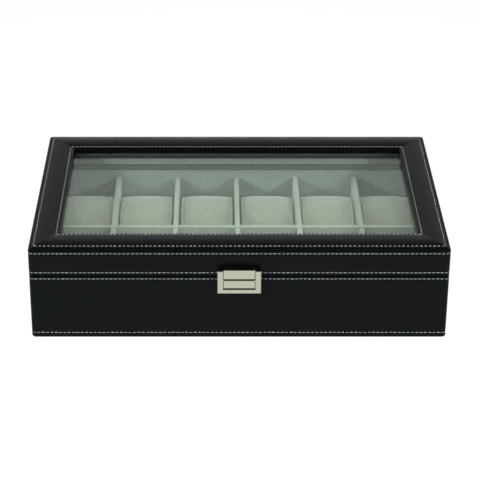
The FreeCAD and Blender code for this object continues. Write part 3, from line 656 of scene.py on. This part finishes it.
def pillow_mesh(seed):
    """One pillow standing on its foot: the swollen tube with its seams and caps."""
    coarse = np.linspace(-PILLOW_SEAM, PILLOW_SEAM, SWELL_STATIONS)
    move = swell(coarse, seed)
    inner = np.linspace(0, PILLOW_SEAM - INNER_END * SEAM_WIDTH, INNER_STATIONS)
    near = PILLOW_SEAM + SEAM_WIDTH * np.array(SEAM_STATIONS)
    cap = PILLOW_REACH - CAP_ROUND * (1 - np.sin(np.linspace(0, math.pi / 2, CAP_STATIONS)))
    half = np.concatenate([inner, near, cap])
    stations = np.concatenate([-half[:0:-1], half])
    rings = pillow_rings(stations)
    place = np.interp(stations, coarse, np.arange(SWELL_STATIONS))
    before = np.minimum(place.astype(int), SWELL_STATIONS - 2)
    share = (place - before)[:, None, None]
    rings += move[before] * (1 - share) + move[before + 1] * share
    rings = np.array(pillow_cap(rings[0])[::-1] + list(rings) + pillow_cap(rings[-1]))
    return rings.reshape(-1, 3), tube_faces(*rings.shape[:2])


def pillows():
    """Twelve velvet pillows, each in the place of its own solid."""
    kinds = [pillow_mesh(seed) for seed in range(PILLOW_KINDS)]
    made = []
    for number, name in enumerate(name for name in NODES if name.startswith("pillow_")):
        verts, faces = kinds[number % PILLOW_KINDS]
        low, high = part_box(name)
        place = np.array([(low.x + high.x) / 2, (low.y + high.y) / 2, low.z])
        obj = new_object(f"{name}_cushion", verts + place, faces)
        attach(obj, name)
        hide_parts(name)
        made.append(obj)
    return made


# Materials


class Shader:
    """A material with one Principled shader and helpers that add nodes to it."""

    def __init__(self, name, colour, roughness, **sockets):
        self.material = bpy.data.materials.new(name)
        self.material.use_nodes = True
        self.tree = self.material.node_tree
        self.bsdf = self.tree.nodes["Principled BSDF"]
        self.bsdf.inputs["Base Color"].default_value = (*colour, 1)
        self.bsdf.inputs["Roughness"].default_value = roughness
        for socket, value in sockets.items():
            self.bsdf.inputs[socket.replace("_", " ").title().replace("Ior", "IOR")].default_value = value
        self.place = self.add("ShaderNodeTexCoord").outputs["Object"]

    def add(self, kind, **settings):
        """A new node, with its inputs and settings given by name."""
        node = self.tree.nodes.new(kind)
        for key, value in settings.items():
            if key in node.inputs.keys():
                node.inputs[key].default_value = value
            else:
                setattr(node, key, value)
        return node

    def link(self, output, target):
        self.tree.links.new(output, target)

    def noise(self, scale, detail=3.0, stretch=None):
        """Cloudy noise, with its scale per metre."""
        node = self.add("ShaderNodeTexNoise", Scale=scale, Detail=detail)
        self.link(self.stretched(stretch), node.inputs["Vector"])
        return node.outputs["Fac"]

    def cells(self, scale):
        """Round cells, with their scale per metre."""
        node = self.add("ShaderNodeTexVoronoi", Scale=scale)
        self.link(self.place, node.inputs["Vector"])
        return node.outputs["Distance"]

    def stretched(self, stretch):
        """Places stretched along the axes, or as they are."""
        if stretch is None:
            return self.place
        node = self.add("ShaderNodeMapping", Scale=stretch)
        self.link(self.place, node.inputs["Vector"])
        return node.outputs["Vector"]

    def colours(self, factor, low, high, start=0.3, end=0.7):
        """Colours between two ends, spread over part of a factor."""
        ramp = self.add("ShaderNodeValToRGB")
        ramp.color_ramp.elements[0].position = start
        ramp.color_ramp.elements[0].color = (*low, 1)
        ramp.color_ramp.elements[1].position = end
        ramp.color_ramp.elements[1].color = (*high, 1)
        self.link(factor, ramp.inputs["Fac"])
        self.link(ramp.outputs["Color"], self.bsdf.inputs["Base Color"])

    def roughness(self, factor, low, high):
        """Roughness between two ends, spread over a factor."""
        node = self.add("ShaderNodeMapRange")
        node.inputs["To Min"].default_value = low
        node.inputs["To Max"].default_value = high
        self.link(factor, node.inputs["Value"])
        self.link(node.outputs["Result"], self.bsdf.inputs["Roughness"])

    def bumps(self, *layers):
        """Bump layers, each a height, a strength and a depth in metres."""
        normal = None
        for height, strength, depth in layers:
            node = self.add("ShaderNodeBump", Strength=strength, Distance=depth)
            self.link(height, node.inputs["Height"])
            if normal is not None:
                self.link(normal, node.inputs["Normal"])
            normal = node.outputs["Normal"]
        self.link(normal, self.bsdf.inputs["Normal"])


def black_leather():
    shader = Shader("black_leather", (0.0014, 0.0019, 0.0021), 0.4, specular_ior_level=0.16)
    shader.colours(shader.noise(60), (0.001, 0.0015, 0.0017), (0.0017, 0.0022, 0.0024))
    shader.roughness(shader.noise(140), 0.3, 0.4)
    shader.bumps((shader.cells(1500), 0.35, 0.06 * MM), (shader.noise(2600), 0.3, 0.03 * MM))
    return shader.material


def velvet(name, low, high, sheen=0.5):
    """A short pile that varies between two colours."""
    shader = Shader(name, low, 0.92, specular_ior_level=0.2, sheen_weight=sheen, sheen_roughness=0.5)
    shader.colours(shader.noise(420, 4), low, high)
    shader.bumps((shader.noise(2400, 2), 0.4, 0.12 * MM), (shader.noise(90), 0.15, 0.4 * MM))
    return shader.material


def black_felt():
    shader = Shader("black_felt", (0.02, 0.02, 0.02), 0.95, sheen_weight=0.3)
    shader.colours(shader.noise(900, 5), (0.012, 0.012, 0.012), (0.03, 0.03, 0.03))
    shader.bumps((shader.noise(1500, 4), 0.6, 0.3 * MM))
    return shader.material


def fibreboard():
    shader = Shader("fibreboard", (0.4, 0.28, 0.17), 0.85)
    shader.colours(shader.noise(700, 6, (1, 1, 3)), (0.32, 0.22, 0.13), (0.47, 0.34, 0.21))
    shader.bumps((shader.noise(1200, 4), 0.4, 0.1 * MM))
    return shader.material


def foam():
    shader = Shader("foam", (0.7, 0.68, 0.6), 0.9)
    shader.colours(shader.noise(500, 4), (0.62, 0.6, 0.52), (0.75, 0.73, 0.66))
    shader.bumps((shader.cells(1100), 0.7, 0.3 * MM))
    return shader.material


def metal(name, colour, roughness):
    """A plated metal, brushed along X."""
    shader = Shader(name, colour, roughness, metallic=1.0)
    brushed = shader.noise(900, 3, (0.05, 1, 1))
    shader.roughness(brushed, roughness - 0.06, roughness + 0.08)
    shader.bumps((brushed, 0.12, 0.03 * MM))
    return shader.material


def clear_glass():
    """A slightly green thin pane that lets lamps through: it bends no light, and its shine is a coat."""
    shine = {"coat_weight": 1.0, "coat_roughness": 0.0, "coat_ior": 1.4}
    shader = Shader("clear_glass", (0.92, 0.97, 0.94), 0.0, transmission_weight=1.0, ior=1.02, **shine)
    passing = shader.add("ShaderNodeBsdfTransparent", Color=(0.86, 0.92, 0.88, 1))
    rays = shader.add("ShaderNodeLightPath")
    mix = shader.add("ShaderNodeMixShader")
    shader.link(rays.outputs["Is Shadow Ray"], mix.inputs[0])
    shader.link(shader.bsdf.outputs[0], mix.inputs[1])
    shader.link(passing.outputs[0], mix.inputs[2])
    shader.link(mix.outputs[0], shader.tree.nodes["Material Output"].inputs["Surface"])
    return shader.material


def pale_thread():
    shader = Shader("pale_thread", (0.35, 0.385, 0.37), 0.7, sheen_weight=0.4)
    shader.colours(shader.noise(1500), (0.297, 0.33, 0.318), (0.4, 0.44, 0.423))
    return shader.material


MATERIALS = {
    "black_leather": black_leather(),
    "grey_velvet": velvet("grey_velvet", (0.158, 0.177, 0.163), (0.204, 0.224, 0.21)),
    "divider_velvet": velvet("divider_velvet", (0.155, 0.168, 0.138), (0.199, 0.213, 0.179)),
    "dark_velvet": velvet("dark_velvet", (0.034, 0.043, 0.037), (0.048, 0.058, 0.052), 0.15),
    "pillow_velvet": velvet("pillow_velvet", (0.162, 0.166, 0.137), (0.201, 0.205, 0.172), 0.35),
    "black_felt": black_felt(),
    "fibreboard": fibreboard(),
    "foam": foam(),
    "clear_glass": clear_glass(),
    "satin_nickel": metal("satin_nickel", (0.96, 0.93, 0.7), 0.3),
    "plated_steel": metal("plated_steel", (0.7, 0.7, 0.67), 0.28),
}
THREAD = pale_thread()


def paint(obj, material):
    obj.data.materials.clear()
    obj.data.materials.append(material)


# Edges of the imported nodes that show

EDGE_WIDTHS = {"grey_velvet": 0.45 * MM, "satin_nickel": 0.12 * MM, "plated_steel": 0.08 * MM}
EDGE_SEGMENTS = 3
SHARP_ANGLE = math.radians(35)
DOWNWARD = -0.5


def dress_nodes():
    """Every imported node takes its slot's material, and the ones that show get soft edges.

    The dividers are a little warmer than the linings. The window's frame is black where the glass shows it.
    """
    for row in frame["record"]["subparts"]:
        obj = NODES[row["node"]]
        finish = "divider_velvet" if "divider" in row["node"] else row["material_slot"]
        paint(obj, MATERIALS[finish])
        for polygon in obj.data.polygons:
            polygon.use_smooth = True
        obj.data.set_sharp_from_angle(angle=SHARP_ANGLE)
        width = EDGE_WIDTHS.get(row["material_slot"])
        if width:
            edge = obj.modifiers.new("soft_edges", "BEVEL")
            edge.width = width
            edge.segments = EDGE_SEGMENTS
            edge.limit_method = "ANGLE"
            edge.angle_limit = SHARP_ANGLE
            edge.harden_normals = True
    window_frame = NODES["lid_top_frame"].data
    window_frame.materials.append(MATERIALS["black_felt"])
    for polygon in window_frame.polygons:
        polygon.material_index = int(polygon.normal.z < DOWNWARD)


# Camera, light and floor

CAMERA_PLACE = Vector((-17.53, -1253.33, 678.5)) * MM
CAMERA_PITCH = math.radians(90 - 27.37)
FOCAL_PIXELS = 1780.5
PRINCIPAL_X = 215.4
IMAGE_SIZE = 480
SENSOR = 36
FLOOR_HALF = 30

# Each soft light's place, power and width, and the point that they all face
LIGHTS = {
    "left_light": ((-0.45, -0.5, 0.32), 3.7, 0.07),
    "right_light": ((0.45, -0.5, 0.32), 3.7, 0.07),
    "top_light": ((0, -0.3, 1.2), 12, 1.0),
}
LIGHT_TARGET = Vector((0, 0, 0.04))


def camera():
    data = bpy.data.cameras.new("camera")
    data.sensor_width = SENSOR
    data.lens = FOCAL_PIXELS / IMAGE_SIZE * SENSOR
    data.shift_x = 0.5 - PRINCIPAL_X / IMAGE_SIZE
    obj = bpy.data.objects.new("camera", data)
    bpy.context.scene.collection.objects.link(obj)
    obj.location = CAMERA_PLACE
    obj.rotation_euler = Euler((CAMERA_PITCH, 0, 0))
    bpy.context.scene.camera = obj


def soft_light(name, place, power, width):
    """A square soft light that points at the box."""
    data = bpy.data.lights.new(name, "AREA")
    data.energy = power
    data.size = width
    obj = bpy.data.objects.new(name, data)
    obj.visible_camera = False
    obj.visible_glossy = False
    bpy.context.scene.collection.objects.link(obj)
    obj.location = place
    obj.rotation_euler = (LIGHT_TARGET - Vector(place)).to_track_quat("-Z", "Y").to_euler()


# Brightness of the surround by the height of a direction, and by how far it points behind the box
SURROUND_BY_HEIGHT = [(0.2, 0.85), (0.34, 0.56), (0.46, 0.51), (0.57, 0.02)]
SURROUND_BY_DEPTH = [(0.0, 0.15), (0.5, 1.0)]
SURROUND_BELOW = 0.6
TINT_ABOVE = (0.93, 1.0, 0.93)
TINT_BELOW = (0.92, 1.0, 1.05)


def colour_ramp(nodes, links, factor, stops):
    """Colours or greys spread over a factor, from a list of places and values."""
    ramp = nodes.new("ShaderNodeValToRGB")
    elements = ramp.color_ramp.elements
    while len(elements) < len(stops):
        elements.new(1.0)
    for element, (place, colour) in zip(elements, stops):
        element.position = place
        element.color = (*np.broadcast_to(colour, 3), 1)
    links.new(factor, ramp.inputs["Fac"])
    return ramp.outputs["Color"]


def studio():
    """A white floor, three soft lights and the light from all round."""
    corners = [(x * FLOOR_HALF, y * FLOOR_HALF, 0) for x, y in ((-1, -1), (1, -1), (1, 1), (-1, 1))]
    floor = new_object("floor", corners, [(0, 1, 2, 3)])
    shader = Shader("floor", (0.25, 0.25, 0.25), 0.9, specular_ior_level=0.0, emission_strength=0.85)
    shader.bsdf.inputs["Emission Color"].default_value = (1, 1, 1, 1)
    paint(floor, shader.material)
    floor.visible_glossy = False
    for name, (place, power, width) in LIGHTS.items():
        soft_light(name, place, power, width)
    surround()
    bpy.context.scene.view_settings.view_transform = "Standard"


def surround():
    """Light from all round: bright low down behind the box, dark above, and even below."""
    world = bpy.data.worlds.new("surround")
    bpy.context.scene.world = world
    world.use_nodes = True
    nodes = world.node_tree.nodes
    links = world.node_tree.links
    where = nodes.new("ShaderNodeTexCoord")
    split = nodes.new("ShaderNodeSeparateXYZ")
    links.new(where.outputs["Generated"], split.inputs["Vector"])
    height = colour_ramp(nodes, links, split.outputs["Z"], SURROUND_BY_HEIGHT)
    depth = colour_ramp(nodes, links, split.outputs["Y"], SURROUND_BY_DEPTH)
    both = nodes.new("ShaderNodeMath")
    both.operation = "MULTIPLY"
    links.new(height, both.inputs[0])
    links.new(depth, both.inputs[1])
    below = nodes.new("ShaderNodeMath")
    below.operation = "LESS_THAN"
    below.inputs[1].default_value = 0.0
    links.new(split.outputs["Z"], below.inputs[0])
    pick = nodes.new("ShaderNodeMix")
    pick.inputs["B"].default_value = SURROUND_BELOW
    links.new(below.outputs[0], pick.inputs["Factor"])
    links.new(both.outputs[0], pick.inputs["A"])
    links.new(pick.outputs["Result"], nodes["Background"].inputs["Strength"])
    tint = colour_ramp(nodes, links, below.outputs[0], [(0, TINT_ABOVE), (1, TINT_BELOW)])
    links.new(tint, nodes["Background"].inputs["Color"])


camera()
studio()
dress_nodes()

rows = stitch_rows()
covers = {
    "lid": [
        lid_band([rows["lid_upper_thread"], rows["lid_lower_thread"]]),
        lid_panel(rows["lid_outer_thread"], rows["lid_window_thread"]),
    ],
    "base": [base_cover([rows["base_upper_thread"], rows["base_lower_thread"]])],
}
for body, skins in covers.items():
    for skin in skins:
        paint(skin, MATERIALS["black_leather"])
        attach(skin, body)
for name, row in rows.items():
    paint(stitches(name, row, name.split("_")[0]), THREAD)
for pillow in pillows():
    paint(pillow, MATERIALS["pillow_velvet"])
